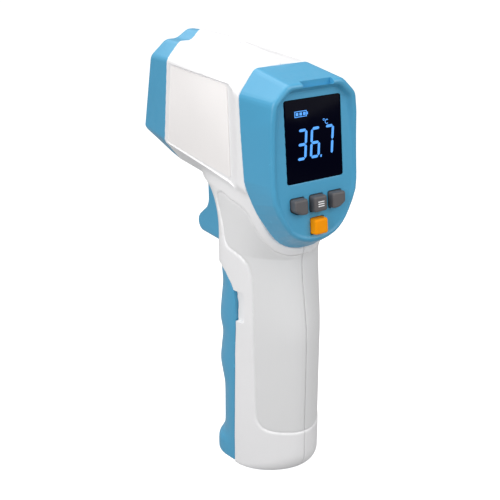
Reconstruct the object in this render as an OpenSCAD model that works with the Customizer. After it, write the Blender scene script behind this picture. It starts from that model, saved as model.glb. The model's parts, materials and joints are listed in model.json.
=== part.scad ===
// Pistol-grip infrared thermometer, in millimetres.
// Origin: centre of the handle's base. +Z up, +Y towards the nose, +X to the user's right.

/* [Handle] */
// Half the handle's width at its middle
grip_half_w = 17.7; // [17.4:0.1:18]
// Half the handle's depth, from back to finger side
grip_half_d = 20.5; // [20.2:0.1:20.8]
// How much wider the finger side is than the back, as a share
grip_egg = 0.2; // [0.17:0.01:0.22]
// Thickness of the moulded walls
wall = 2; // [1.8:0.1:2.2]

/* [Head] */
// Height of the display's centre above the base
display_z = 139; // [138:0.5:139]
// Half the head's width
head_half_w = 18.9; // [18.7:0.1:19.2]
// Lean of the display face, top edge forwards, in degrees
face_tilt = 6.3; // [6:0.1:6.6]

/* [Display and keys] */
// Width of the display window
window_w = 24; // [23:0.1:24.5]
// Height of the display window
window_h = 28.7; // [28:0.1:29]
// Side of a square key cap
key_side = 5.8; // [5.6:0.1:6]
// Distance between the grey keys
key_pitch = 8.2; // [7.9:0.1:8.4]
// How far a key travels
key_travel = 0.8; // [0.5:0.1:1]

/* [Batteries] */
// Diameter of an AAA cell
cell_d = 10.5; // [10.3:0.1:10.5]
// Length of an AAA cell with its button
cell_l = 44.5; // [44:0.1:44.5]

/* [Hidden] */
$fn = 48;
eps = 0.01;
gap = 0.15;

white = [0.93, 0.93, 0.94];
blue = [0.38, 0.65, 0.79];
grey = [0.35, 0.34, 0.35];
orange = [1, 0.61, 0.02];
metal = [0.78, 0.78, 0.76];
black = [0.03, 0.03, 0.05];
board_green = [0.05, 0.35, 0.2];
cell_blue = [0.15, 0.3, 0.6];

// Places along Y: middle of the handle, then from the display face forwards
grip_y = 1.4;
face_y = -20;
rim_y = face_y - 0.7;
joint_y = -2.4;
nose_joint_y = 51.7;
nose_front_y = 70.7;

// Levels above the base
neck_low_z = display_z - 46;
neck_top_z = display_z - 20;
taper_z = 58;
neck_in = 4;
door_top_z = display_z - 54.5;

// Trigger pivot, door hinge and lever pivot
pivot_y = 34;
pivot_z = display_z - 21;
pin_r = 1.5;
run = 0.05;
trigger_half_w = 7.5;
hinge_y = 6.5;
hinge_z = 2.6;
hinge_r = 1;
swing_r = 2.45;
eye_r = 1.9;
lug_x = [9.5, 12.3];
lever_y = 9.2;
lever_z = pivot_z - 14;
lever_lean = 19;

// Floor of the recess for each side label, from the middle
label_x = head_half_w - 1;

// Heights of the two key rows on the face, from the display's centre
key_v = -22.5;
power_v = -30.7;

// Battery places
cell_x = 5.4;
cell_y = -1;
cell_z = 20;

// Screw places in the side view: [y, z, half the length of the boss stack]
SCREWS = [[31, display_z + 13, 14], [28, display_z - 9.4, 14], [1.6, display_z - 10, 14],
    [0, display_z - 53, 11.2], [-8, 8.5, 8.4]];
screw_r = 0.95;
screw_head_r = 2.1;

// ---------- shapes used by several pieces ----------

// The handle's plan outline, drawn in by inset: round at the back, and wider and squarer at the front.
// back moves the back of the outline forwards.
function grip_outline(inset, back = 0) = [for (i = [0:63]) let (t = i * 5.625, c = cos(t), q = sin(t),
    n = q > 0 ? 0.714 : 1, u = sign(c) * pow(abs(c), n), v = sign(q) * pow(abs(q), n))
    [(grip_half_w - inset) * u * (1 + grip_egg * v), grip_y + (grip_half_d - inset - (q < 0 ? back : 0)) * v]];

// Points on an arc in the plane, from angle a to angle b
function arc(x, y, r, a, b, n = 8) = [for (i = [0:n]) let (t = a + (b - a) * i / n)
    [x + r * cos(t), y + r * sin(t)]];

// Extrudes a (y, z) outline across the width, from x0 to x1
module across(x0, x1) {
    translate([x0, 0, 0]) rotate([90, 0, 90]) linear_extrude(x1 - x0) children();
}

// Extrudes an (x, z) outline forwards, from y0 to y1
module forwards(y0, y1) {
    translate([0, y1, 0]) rotate([90, 0, 0]) linear_extrude(y1 - y0) children();
}

// A cylinder along X from x0 to x1 at (y, z)
module x_rod(x0, x1, y, z, r) {
    translate([x0, y, z]) rotate([0, 90, 0]) cylinder(h = x1 - x0, r = r);
}

// A cylinder along Y from y0 to y1 at (x, z)
module y_rod(y0, y1, x, z, r1, r2) {
    translate([x, y0, z]) rotate([-90, 0, 0]) cylinder(h = y1 - y0, r1 = r1, r2 = r2);
}

// Puts children in the display face's own frame: X across, Y into the body, Z up the face
module on_face() {
    translate([0, face_y, display_z]) rotate([-face_tilt, 0, 0]) children();
}

// A box on the face, centred at (x, v), between depths d0 and d1
module face_box(x, v, w, h, d0, d1) {
    translate([x - w / 2, d0, v - h / 2]) cube([w, d1 - d0, h]);
}

// A thin plate that leans forwards by lean degrees, with an (x, z) outline measured from the display's centre
module leaning_plate(y, lean, outline) {
    translate([0, y, display_z]) rotate([90 - lean, 0, 0]) linear_extrude(eps)
        polygon([for (p = outline) [p[0], p[1] / cos(lean)]]);
}

// ---------- outer form ----------

// Leans of the three planes that cut the head: at the bezel, at the nose joint and at the nose's front
LEAN = [face_tilt, -6.8, -14];

// Eight corners of the head's section at one of those planes, drawn in by inset
function head_outline(hw, top_hw, top, shoulder, crest, bottom, bottom_hw, inset) =
    both_sides([[top_hw - 0.4 * inset, top - inset], [hw - inset, shoulder - 0.4 * inset],
        [hw - inset, crest + 0.4 * inset], [bottom_hw - 0.4 * inset, bottom + inset]]);

// A half outline from top to bottom, closed with its mirror image
function both_sides(half) = concat(half, [for (i = [len(half) - 1:-1:0]) [-half[i][0], half[i][1]]]);

function outline_at_bezel(inset) = head_outline(head_half_w, 11.5, 22.3, 14.2, -19.6, -26.5, 12, inset);
function outline_at_nose(inset) = head_outline(head_half_w, 11.5, 24.2, 18.5, -14.6, -24, 11, inset);
function outline_at_front(inset) = head_outline(17.1, 11, 23.4, 17.2, -13.5, -20.5, 10.5, inset);

// The white part of the head, as a solid
module head_block(inset, y0 = joint_y, y1 = nose_joint_y) {
    hull() {
        leaning_plate(y0, LEAN[0], outline_at_bezel(inset));
        leaning_plate(y1, LEAN[1], outline_at_nose(inset));
    }
}

// The neck, from the handle's outline out to the underside of the head, with its hollow front
module neck_block(inset) {
    w = head_half_w - 1.2 - inset;
    difference() {
        hull() {
            translate([0, 0, neck_low_z]) linear_extrude(eps) polygon(grip_outline(inset, neck_in));
            translate([0, 0, neck_top_z]) linear_extrude(eps)
                polygon([[w, -6 + inset], [w, 28], [11 - inset, 52 - inset], [inset - 11, 52 - inset],
                    [-w, 28], [-w, -6 + inset]]);
        }
        x_rod(-30, 30, 48, display_z - 52, 27.2 + inset);
    }
}

// The handle's side view, with a rounded heel and a rounded toe
module grip_side(inset) {
    heel = 12 - inset;
    toe = 5 - inset / 2;
    front = grip_y + grip_half_d - inset;
    back = grip_y - grip_half_d + inset;
    polygon(concat(arc(back + heel, inset + heel, heel, 180, 270), arc(front - toe, inset + toe, toe, 270, 360),
        [[front, taper_z + 1], [back, taper_z + 1]]));
}

// The handle as a solid: straight at first, then its back runs in towards the neck
module grip_block(inset) {
    foot = 5 - inset / 2;
    w = grip_half_w + 2 - inset;
    intersection() {
        linear_extrude(taper_z) polygon(grip_outline(inset));
        across(-30, 30) grip_side(inset);
        forwards(-30, 30) polygon(concat(arc(-w + foot, inset + foot, foot, 180, 270),
            arc(w - foot, inset + foot, foot, 270, 360), [[w, 110], [-w, 110]]));
    }
    hull() {
        translate([0, 0, taper_z - eps]) linear_extrude(eps) polygon(grip_outline(inset));
        translate([0, 0, neck_low_z]) linear_extrude(eps) polygon(grip_outline(inset, neck_in));
    }
}

// The line between the bezel and the shells in the side view, moved by d along Y
function joint_line(d) = [[joint_y + 2.6 + d, display_z + 24], [joint_y - 2.2 + d, display_z - 16],
    [-5.6 + d, display_z - 20], [-11.4 + d, display_z - 31], [-12 + d, display_z - 38.5],
    [-15 + d, display_z - 42.5], [-26 + d, display_z - 43]];

// Everything behind the joint line, where the bezel is
module bezel_zone(d = 0) {
    across(-30, 30) polygon(concat(joint_line(d), [[-40, display_z - 43], [-40, display_z + 40],
        [joint_y + 4.6 + d, display_z + 40]]));
}

// The battery door's area in the side view, grown by d
module door_side(d = 0) {
    polygon(concat([[30, -5], [30, door_top_z + 0.7 + d], [12.6, door_top_z + 0.7 + d], [8, door_top_z - 2 + d]],
        [[4.5 - d, door_top_z - 9], [3 - d, door_top_z - 14], [4 - d, door_top_z - 20]],
        [[4 - d, -5]]));
}

// The raised ridge along the top of the head, from y0 to y1
module ridge(y0, y1) {
    half = concat([[0, 20], [8, 20], [8, 23.6]], arc(8.2, 27.4, 3.6, 262, 225, 3),
        arc(1.6, 23, 4.8, 45, 90, 5));
    forwards(y0, y1) translate([0, display_z]) polygon(both_sides(half));
}

// The white outside of the instrument
module outside() {
    difference() {
        union() {
            head_block(0);
            neck_block(0);
            grip_block(0);
            difference() {
                ridge(8, nose_joint_y - 0.5);
                // slope down to the rear, and the leaning joint with the nose cap
                across(-20, 20) polygon([[0, display_z + 22], [8, display_z + 22.6], [30, display_z + 26.2],
                    [42, display_z + 29], [0, display_z + 40]]);
                across(-20, 20) polygon([[nose_joint_y - 2.2, display_z + 18], [nose_joint_y + 9, display_z + 18],
                    [nose_joint_y + 9, display_z + 32], [nose_joint_y - 3.8, display_z + 32]]);
            }
        }
        bezel_zone();
    }
}

// The hollow inside the shells
module hollow() {
    head_block(wall, joint_y - 12, nose_joint_y + 10);
    neck_block(wall);
    grip_block(wall);
}

// One half of the case, before its bosses: side is -1 for left and 1 for right
module half_shell(side) {
    difference() {
        outside();
        hollow();
        across(-30, 30) door_side(gap);
        translate([side > 0 ? -40 : 0, -50, -10]) cube([40, 150, 200]);
        // slot for the trigger, in the underside of the head and the front of the neck
        translate([-trigger_half_w - 0.4, 12, pivot_z - 36]) cube([2 * trigger_half_w + 0.8, 31, 36]);
        // recess for the side label
        translate([side > 0 ? label_x : -label_x - 3, 0, 0]) across(0, 3) label_side(0.2);
    }
}

// The label's outline in the side view
module label_side(d) {
    polygon([[47.6 + d, display_z + 16.3 + d], [7.3 - d, display_z + 15.9 + d],
        [5.4 - d, display_z - 17.5 - d], [51.8 + d, display_z - 14.6 - d]]);
}

// A tube for a case screw, from the parting plane to the wall
module boss(side, s) {
    x_rod(side > 0 ? 0.05 : -s[2] - 3.6, side > 0 ? s[2] + 3.6 : -0.05, s[0], s[1], 3.2);
}

// The boss that holds one end of the trigger's pin
module trigger_boss(side) {
    x0 = trigger_half_w + 0.4;
    x_rod(side > 0 ? x0 : -12.4, side > 0 ? 12.4 : -x0, pivot_y, pivot_z, 3);
    translate([side > 0 ? x0 : -14.6, pivot_y - 1.5, pivot_z + 1.6]) cube([14.6 - x0, 3, 4]);
}

// The lug that holds the door's pin, standing on the floor of the handle
module door_lug(side) {
    x0 = side > 0 ? lug_x[0] : -lug_x[1];
    x_rod(x0, x0 + lug_x[1] - lug_x[0], hinge_y, hinge_z, eye_r);
    translate([x0, -7, 1]) cube([lug_x[1] - lug_x[0], 7 + hinge_y, hinge_z + eye_r - 1]);
}

// ---------- case pieces ----------

module left_shell() {
    color(white) difference() {
        union() {
            half_shell(-1);
            for (s = SCREWS) boss(-1, s);
            trigger_boss(-1);
            door_lug(-1);
        }
        for (s = SCREWS) x_rod(-s[2], 1, s[0], s[1], screw_r + run);
        x_rod(-11.2, 0, pivot_y, pivot_z, pin_r + run);
        x_rod(-16, 0, hinge_y, hinge_z, hinge_r + run);
    }
}

module right_shell() {
    color(white) difference() {
        union() {
            half_shell(1);
            for (s = SCREWS) boss(1, s);
            trigger_boss(1);
            door_lug(1);
        }
        for (s = SCREWS) {
            x_rod(-1, 30, s[0], s[1], screw_r + 0.3);
            x_rod(s[2] - 2, 30, s[0], s[1], screw_head_r + 0.4);
        }
        x_rod(0, 11.2, pivot_y, pivot_z, pin_r + run);
        x_rod(0, 16, hinge_y, hinge_z, hinge_r + run);
    }
}

// Self-tapping screws that close the case from the right
module shell_screws() {
    color(metal) for (s = SCREWS) difference() {
        union() {
            x_rod(s[2] - 2 + eps, s[2] - 0.6, s[0], s[1], screw_head_r);
            x_rod(-s[2] + 2, s[2] - 1.9, s[0], s[1], screw_r);
        }
        for (a = [0, 90]) translate([s[2] - 1.2, s[0], s[1]]) rotate([a + 20, 0, 0])
            translate([0, -1.2, -0.25]) cube([2, 2.4, 0.5]);
    }
}

// Eight-sided blue cap on the nose, with the round mouth of the sensor
module nose_cap() {
    color(blue) difference() {
        union() {
            hull() {
                leaning_plate(nose_joint_y + gap, LEAN[1], outline_at_nose(0));
                leaning_plate(nose_front_y, LEAN[2], outline_at_front(0));
            }
            difference() {
                ridge(nose_joint_y - 5, nose_front_y);
                across(-20, 20) polygon([[nose_joint_y - 2.1 + gap, display_z + 18], [0, display_z + 18],
                    [0, display_z + 32], [nose_joint_y - 3.7 + gap, display_z + 32]]);
                across(-20, 20) polygon([[nose_front_y - 3.6, display_z + 18], [80, display_z + 18],
                    [80, display_z + 32], [nose_front_y - 12.2, display_z + 32]]);
            }
        }
        hull() {
            leaning_plate(nose_joint_y - 5, LEAN[1], outline_at_nose(2.2));
            leaning_plate(nose_front_y - 3, LEAN[2], outline_at_front(3));
        }
        y_rod(40, 90, 0, display_z + 1, 11, 11);
    }
}

// Outline of the bezel at its front rim: half of it, top to bottom
RIM = [[11.8, 20], [17.6, 14.5], [18.5, 8], [18.6, -14], [18, -20.5], [14.5, -27.6], [11.5, -31.6],
    [7.7, -34.4], [2.5, -35.9]];
// Outline of the bezel at its joint with the shells
BACK = [[11.5, 22.6], [18.8, 13.9], [19.2, 2], [19.2, -16], [17.5, -24.2], [15.5, -30], [11, -37.3],
    [8, -39.8], [3, -41.5]];

module bezel_block() {
    hull() {
        translate([0, rim_y, display_z]) rotate([90, 0, 0]) linear_extrude(eps)
            polygon([for (p = both_sides(RIM)) if (p[1] > -13) p]);
        on_face() rotate([90, 0, 0]) linear_extrude(eps)
            polygon([for (p = both_sides(RIM)) if (p[1] < 0) p]);
        translate([0, 1, display_z]) rotate([90, 0, 0]) linear_extrude(eps)
            polygon([for (p = both_sides(BACK)) if (p[1] > -17) p]);
        translate([0, -12, display_z]) rotate([90, 0, 0]) linear_extrude(eps)
            polygon([for (p = both_sides(BACK)) if (p[1] < -17) p]);
    }
}

// Centres of the four keys on the face
KEYS = [[-key_pitch, key_v], [0, key_v], [key_pitch, key_v], [0, power_v]];

// Blue bezel around the display, with its hooded rim and its slot
module rear_bezel() {
    color(blue) difference() {
        intersection() {
            bezel_block();
            bezel_zone(-gap);
        }
        // hollow behind the face plate
        on_face() rotate([-90, 0, 0]) translate([0, 0, 2]) linear_extrude(40)
            polygon([for (p = both_sides(RIM)) [p[0] * 0.89, -p[1] * 0.93]]);
        // recess in front of the face plate
        on_face() rotate([90, 0, 0]) linear_extrude(10)
            polygon(both_sides([[10.5, 18.4], [16.2, 13.4], [16.8, -5], [16.9, -14], [16, -20.5],
                [12.9, -27.4], [10.9, -31.2], [6.4, -34], [2, -34.9]]));
        // opening behind the window, and the rebate that the window sits in
        on_face() face_box(0, 0, window_w - 3, window_h - 3, -1, 4);
        on_face() face_box(0, 0, window_w + 2 * run, window_h + 2 * run, -1, 1.2 + run);
        for (k = KEYS)
            on_face() face_box(k[0], k[1], key_side + 0.4, key_side + 0.4, -1, 4);
        // slot in the top of the rim
        on_face() for (x = [-5.7, 5.7]) translate([x, 0, 19.7]) rotate([90, 0, 0]) cylinder(h = 8, r = 0.8);
        on_face() face_box(0, 19.7, 11.4, 1.6, -8, 0);
    }
}

module label_left() {
    color(white) across(-label_x - 0.4, -label_x - 0.03) label_side(0);
}

module label_right() {
    color(white) across(label_x + 0.03, label_x + 0.4) label_side(0);
}

// ---------- display and keys ----------

module display_window() {
    color(black) on_face() face_box(0, 0, window_w, window_h, 0, 1.2);
}

module lcd_module() {
    color(metal) on_face() face_box(0, 0, window_w + 3, window_h, 2.1, 4.3);
}

module backlight() {
    color("white") on_face() difference() {
        face_box(0, 0, window_w + 3.4, window_h, 4.4, 7.9);
        face_box(0, 0, window_w, window_h - 3, 6, 9);
    }
}

// Green board behind the display, with a round hole for each of its screws
BOARD_SCREWS = [[-7.5, 16.2], [7.5, 16.2], [-7, -28.6], [7, -28.6]];

module main_board() {
    color(board_green) on_face() difference() {
        rotate([90, 0, 0]) translate([0, 0, -9.6]) linear_extrude(1.6) polygon(both_sides(
            [[9.8, 17.8], [15, 12.9], [15, -18], [12, -25], [9.2, -29.2], [6, -31.8], [2, -33]]));
        for (p = BOARD_SCREWS) y_rod(6, 12, p[0], p[1], 1.1, 1.1);
    }
}

module board_chips() {
    color(black) on_face() {
        face_box(4, 3, 9, 9, 9.6 + eps, 11.2);
        face_box(-9, -7, 5, 4, 9.6 + eps, 11);
        face_box(9, -8, 3, 6, 9.6 + eps, 11);
        face_box(0, 12, 3.2, 1.6, 9.6 + eps, 10.6);
        face_box(0, -19, 6, 5, 9.6 + eps, 11.3);
    }
}

// Screws from the board's back into posts on the bezel
module board_screws() {
    color(metal) on_face() for (p = BOARD_SCREWS) difference() {
        union() {
            y_rod(9.6 + eps, 10.8, p[0], p[1], 1.9, 1.6);
            y_rod(5.5, 9.7, p[0], p[1], 0.9, 0.9);
        }
        translate([p[0] - 1.1, 10.2, p[1] - 0.2]) cube([2.2, 1, 0.4]);
        translate([p[0] - 0.2, 10.2, p[1] - 1.1]) cube([0.4, 1, 2.2]);
    }
}

// Housings of the four push switches, each with a round well for a key's stem
module key_switches() {
    color(black) on_face() for (k = KEYS) difference() {
        face_box(k[0], k[1], 5, 5, 4.6, 7.98);
        y_rod(4, 6.8, k[0], k[1], 1.25, 1.25);
    }
}

// A key: cap through the face plate, flange behind it, stem into its switch
module key(x, v) {
    on_face() {
        difference() {
            face_box(x, v, key_side, key_side, -2.8, 2.2);
            if (x != 0) translate([sign(x) * (key_pitch + 2.2), 0, v - 1.2]) rotate([0, sign(x) * 32, 0])
                translate([-5, -4, -6]) cube([10, 3, 5]);
        }
        face_box(x, v, key_side + 1.2, key_side - 1.6, 2.15, 2.95);
        y_rod(2.9, 5.2, x, v, 1.2, 1.2);
    }
}

module key_left() {
    color(grey) key(-key_pitch, key_v);
}

module key_middle() {
    color(grey) key(0, key_v);
}

module key_right() {
    color(grey) key(key_pitch, key_v);
}

module power_key() {
    color(orange) key(0, power_v);
}

module buzzer() {
    color(black) on_face() difference() {
        y_rod(9.6 + eps, 13.6, -8, 4, 4.5, 4.5);
        y_rod(12, 15, -8, 4, 0.8, 0.8);
    }
}

// ---------- trigger ----------

// Side view of the trigger from its pivot: arm, hollow front, blunt tip, flat bottom and rear nose
module trigger_side() {
    translate([pivot_y, pivot_z]) polygon(concat(
        arc(0, 0, 4.2, 200, 20),
        [[6.7, -6]],
        arc(13.4, -15.5, 7, 180, 225, 6),
        arc(10.4, -27.8, 4.5, 55, -75, 10),
        [[11, -32.2], [-14, -32.2], [-19, -28], [-15, -22], [-8, -12]]));
}

module trigger() {
    color(blue) difference() {
        intersection() {
            across(-trigger_half_w, trigger_half_w) trigger_side();
            translate([0, 0, 60]) linear_extrude(80) polygon(concat(
                arc(trigger_half_w - 3, 46.2, 3, 0, 90, 5), arc(3 - trigger_half_w, 46.2, 3, 90, 180, 5),
                [[-trigger_half_w, 0], [trigger_half_w, 0]]));
        }
        x_rod(-20, 20, pivot_y, pivot_z, pin_r + run);
        x_rod(-3.6, 3.6, pivot_y, pivot_z, 5.5);
    }
}

module trigger_pin() {
    color(metal) x_rod(-11, 11, pivot_y, pivot_z, pin_r);
}

// Torsion spring on the trigger's pin: close round turns between two straight legs
module trigger_spring() {
    wire = 0.4;
    pitch = 0.9;
    turn_r = pin_r + run + 0.1 + wire;
    color(metal) {
        for (i = [-2:2]) translate([i * pitch, pivot_y, pivot_z]) rotate([0, 90, 0])
            rotate_extrude() translate([turn_r, 0]) circle(r = wire);
        translate([-3 * pitch, pivot_y + turn_r, pivot_z - 3]) cylinder(h = 3, r = wire);
        translate([3 * pitch, pivot_y - turn_r, pivot_z]) cylinder(h = 3, r = wire);
    }
}

// Snap switch behind the trigger
module trigger_switch() {
    color(black) difference() {
        translate([-3, lever_y - 7, lever_z - 12.8]) cube([6, 6, 13.8]);
        for (z = [-10, -1.5]) x_rod(-5, 5, lever_y - 4.6, lever_z + z, 1.1);
    }
}

// Spring-steel lever of the snap switch, with its own pivot eye
module switch_lever() {
    color(metal) difference() {
        union() {
            x_rod(-2, 2, lever_y, lever_z, 0.8);
            translate([0, lever_y, lever_z]) rotate([lever_lean, 0, 0]) {
                translate([-2, 0.1, -13]) cube([4, 0.4, 13]);
                translate([0, 0.3, -13]) rotate([0, 90, 0]) cylinder(h = 4, r = 0.9, center = true);
            }
        }
        x_rod(-3, 3, lever_y, lever_z, 0.4);
    }
}

// ---------- sensor ----------

tube_y0 = nose_joint_y - 8;
sensor_z = display_z + 1;

module sensor_tube() {
    color(black) difference() {
        union() {
            y_rod(tube_y0, nose_front_y - 3.2, 0, sensor_z, 10.8, 10.8);
            y_rod(tube_y0 - 3, tube_y0, 0, sensor_z, 12.5, 12.5);
        }
        y_rod(tube_y0 + 14, nose_front_y, 0, sensor_z, 7.2, 10.2);
        y_rod(tube_y0 + 12.2, tube_y0 + 15, 0, sensor_z, 7.05, 7.05);
        y_rod(tube_y0 + 4, tube_y0 + 13, 0, sensor_z, 5, 5);
        y_rod(tube_y0 - 4, tube_y0 + 5, 0, sensor_z, 4.7, 4.7);
    }
}

module sensor_lens() {
    color("silver") translate([0, tube_y0 + 12.2 + eps, sensor_z]) rotate([-90, 0, 0]) rotate_extrude()
        polygon(concat([[0, 0], [7, 0]], arc(0, -22, 24, 73, 90, 6)));
}

module sensor_can() {
    color(metal) difference() {
        union() {
            y_rod(tube_y0 - 1.2, tube_y0 + 3.4, 0, sensor_z, 4.1, 4.1);
            y_rod(tube_y0 - 2, tube_y0 - 1.2, 0, sensor_z, 4.6, 4.6);
        }
        y_rod(tube_y0 + 2.8, tube_y0 + 4, 0, sensor_z, 1.7, 1.7);
    }
}

module sensor_board() {
    color(board_green) y_rod(tube_y0 - 4.7, tube_y0 - 3.1, 0, sensor_z, 11, 11);
}

// Three-wire cable from the sensor board back to the main board
module sensor_cable() {
    color(black) for (x = [-1.4, 0, 1.4]) y_rod(-7.9, tube_y0 - 4.8, x, sensor_z - 6, 0.55, 0.55);
}

// ---------- battery compartment ----------

// Inner face of the door's grooved front
door_inner_y = grip_y + grip_half_d - 5.4;
// Finger grooves across the front of the door: [height, radius, depth]
GROOVES = [[68, 20, 3], [46, 15, 2.8], [14, 42, 3.4]];

module battery_door() {
    color(blue) difference() {
        union() {
            difference() {
                intersection() {
                    union() {
                        grip_block(0);
                        neck_block(0);
                    }
                    across(-30, 30) door_side();
                }
                difference() {
                    union() {
                        grip_block(wall);
                        neck_block(wall);
                    }
                    translate([-30, 0, door_top_z - 2]) cube([60, 40, 20]);
                    translate([-30, door_inner_y, -1]) cube([60, 20, 120]);
                }
                for (g = GROOVES) x_rod(-30, 30, grip_y + grip_half_d + g[1] - g[2], g[0], g[1]);
            }
            // ears around the hinge pin
            for (x = [-15.6, 12.6]) x_rod(x, x + 3, hinge_y, hinge_z, eye_r);
            for (x = [-15.6, 12.6]) translate([x, hinge_y, 1]) cube([3, 6, hinge_z + eye_r - 1]);
        }
        // rounded corner, so that the door rolls clear of the shells as it swings
        difference() {
            translate([-30, 0, -1]) cube([60, hinge_y, hinge_z + 1]);
            x_rod(-31, 31, hinge_y, hinge_z, swing_r);
        }
        // room for the lugs of the shells as the door swings
        for (x = [-lug_x[1] - 0.3, lug_x[0] - 0.3]) x_rod(x, x + lug_x[1] - lug_x[0] + 0.6, hinge_y, hinge_z, 4);
        x_rod(-20, 20, hinge_y, hinge_z, hinge_r + run);
    }
}

module door_pin() {
    color(metal) x_rod(-15.3, 15.3, hinge_y, hinge_z, hinge_r);
}

// Open tray for two cells side by side, with end walls that hold the contacts
module battery_tray() {
    half = cell_d + 1.3;
    back = cell_y - cell_d / 2 - 1.6;
    front = cell_y + cell_d / 2 + 0.4;
    color(grey) difference() {
        translate([0, 0, cell_z - 6.5]) linear_extrude(cell_l + 14)
            polygon([[half, front], [half, back + 3], [half - 3, back], [3 - half, back], [-half, back + 3],
                [-half, front]]);
        translate([0, 0, cell_z - 5.3]) linear_extrude(cell_l + 11.6)
            polygon([[half - 1.2, front + 9], [half - 1.2, back + 3.5], [half - 3.5, back + 1.4],
                [3.5 - half, back + 1.4], [1.2 - half, back + 3.5], [1.2 - half, front + 9]]);
    }
}

// An AAA cell standing on the tray, button up when up is true
module cell(x, up) {
    color(cell_blue) translate([x, cell_y, cell_z + (up ? 0 : cell_l)]) mirror([0, 0, up ? 0 : 1]) {
        cylinder(h = cell_l - 1, r = cell_d / 2 - 0.1);
        cylinder(h = cell_l, r = 1.9);
    }
}

module battery_left() {
    cell(-cell_x, true);
}

module battery_right() {
    cell(cell_x, false);
}

// Conical contact springs, each as stacked round turns on its negative end
module battery_springs() {
    color(metal) {
        for (i = [0:4]) translate([-cell_x, cell_y, cell_z - 0.45 - i * 0.9]) rotate_extrude()
            translate([1.6 + i * 0.45, 0]) circle(r = 0.4, $fn = 16);
        for (i = [0:4]) translate([cell_x, cell_y, cell_z + cell_l + 0.45 + i * 0.9]) rotate_extrude()
            translate([1.6 + i * 0.45, 0]) circle(r = 0.4, $fn = 16);
    }
}

// Flat contacts behind the springs and the buttons
module contact_plates() {
    color(metal) {
        translate([-cell_x - 4, cell_y - 4, cell_z - 5.2]) cube([8, 8, 0.4]);
        translate([cell_x - 4, cell_y - 4, cell_z - 5.2]) cube([8, 8, 0.4]);
        translate([-cell_x - 4, cell_y - 4, cell_z + cell_l + 5.4]) cube([8, 8, 0.4]);
        translate([cell_x - 4, cell_y - 4, cell_z + cell_l + 5.4]) cube([8, 8, 0.4]);
    }
}

// Red and black leads from the tray up to the board, drawn as straight runs
module battery_wires() {
    color("red") translate([-2, -10, 73]) cylinder(h = 24, r = 0.6);
    color(black) translate([2, -10, 73]) cylinder(h = 24, r = 0.6);
}

left_shell();
right_shell();
nose_cap();
rear_bezel();
display_window();
lcd_module();
backlight();
main_board();
board_chips();
key_left();
key_middle();
key_right();
power_key();
key_switches();
buzzer();
board_screws();
trigger();
trigger_pin();
trigger_spring();
trigger_switch();
switch_lever();
sensor_tube();
sensor_lens();
sensor_can();
sensor_board();
sensor_cable();
battery_door();
door_pin();
battery_tray();
battery_left();
battery_right();
battery_springs();
contact_plates();
battery_wires();
label_left();
label_right();
shell_screws();
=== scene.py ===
import json
import math

import bmesh
import bpy
import numpy as np
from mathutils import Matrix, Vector


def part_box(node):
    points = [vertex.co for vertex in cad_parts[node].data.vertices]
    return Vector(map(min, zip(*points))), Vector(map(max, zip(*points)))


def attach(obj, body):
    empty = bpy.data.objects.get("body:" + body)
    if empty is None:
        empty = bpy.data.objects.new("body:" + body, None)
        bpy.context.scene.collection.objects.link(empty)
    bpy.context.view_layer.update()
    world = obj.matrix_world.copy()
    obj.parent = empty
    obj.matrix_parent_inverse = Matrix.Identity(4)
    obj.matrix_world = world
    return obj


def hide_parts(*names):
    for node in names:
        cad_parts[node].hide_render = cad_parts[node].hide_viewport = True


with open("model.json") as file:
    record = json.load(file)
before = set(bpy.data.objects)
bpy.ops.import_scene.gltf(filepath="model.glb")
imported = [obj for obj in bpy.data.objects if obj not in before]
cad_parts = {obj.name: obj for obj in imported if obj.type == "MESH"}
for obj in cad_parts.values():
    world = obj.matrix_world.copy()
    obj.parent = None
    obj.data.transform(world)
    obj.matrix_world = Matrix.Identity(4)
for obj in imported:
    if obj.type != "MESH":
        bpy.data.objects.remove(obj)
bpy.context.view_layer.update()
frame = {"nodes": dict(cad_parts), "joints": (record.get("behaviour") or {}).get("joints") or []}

# Visual model of a pistol-grip infrared thermometer.
# Lengths are in millimetres until a mesh is made. X is across, Y towards the nose, Z up.
# Each moulding is a distance function, negative inside, and contour() turns it into a mesh.

MM = 0.001
STEP_SCALE = 1.0

# Settings of contour()
BLOCK = 8  # cells along the side of a coarse block
BLOCK_REACH = 1.5  # how near the surface a coarse block has to be, in block widths
GRID_MARGIN = 2.37  # free cells around a moulding: a fraction, so that no grid plane lies on a flat face
FIRMNESS = 0.03  # pull towards the middle of the crossings, which settles flat stretches
SMOOTH_SHARE = 0.97  # how well the normals around a vertex agree on a smooth stretch


# ---------- places taken from the frame ----------

def corners(node):
    """Lowest and highest corner of a CAD node, in millimetres."""
    lo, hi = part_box(node)
    return np.array(lo) / MM, np.array(hi) / MM


def joint(name):
    """The frame's joint with that name."""
    return next(j for j in frame["joints"] if j["name"] == name)


window_lo, window_hi = corners("display_window")
press = joint("key_middle_press")["axis"]
TILT = math.atan2(-press[2], press[1])
COS_T = math.cos(TILT)
SIN_T = math.sin(TILT)
TAN_T = math.tan(TILT)
WINDOW_W = window_hi[0] - window_lo[0]
WINDOW_T = 1.2  # thickness of the display window
WINDOW_H = (window_hi[2] - window_lo[2] - WINDOW_T * SIN_T) / COS_T
FACE_Z = (window_lo[2] + window_hi[2] + WINDOW_T * SIN_T) / 2
FACE_Y = window_lo[1] + WINDOW_H * SIN_T / 2

HEAD_HALF_W = corners("left_shell")[1][0] - corners("left_shell")[0][0]
PIVOT_Y, PIVOT_Z = np.array(joint("trigger_pull")["pos_m"])[1:] / MM
HINGE_Y, HINGE_Z = np.array(joint("battery_door_open")["pos_m"])[1:] / MM
TRIGGER_HALF_W = corners("trigger")[1][0]
LABEL_X = corners("label_right")[0][0]

# Joints and front of the head, at the height of the display's centre
JOINT_Y = FACE_Y + 17.6
NOSE_JOINT_Y = FACE_Y + 71.7
NOSE_FRONT_Y = FACE_Y + 90.7

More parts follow.
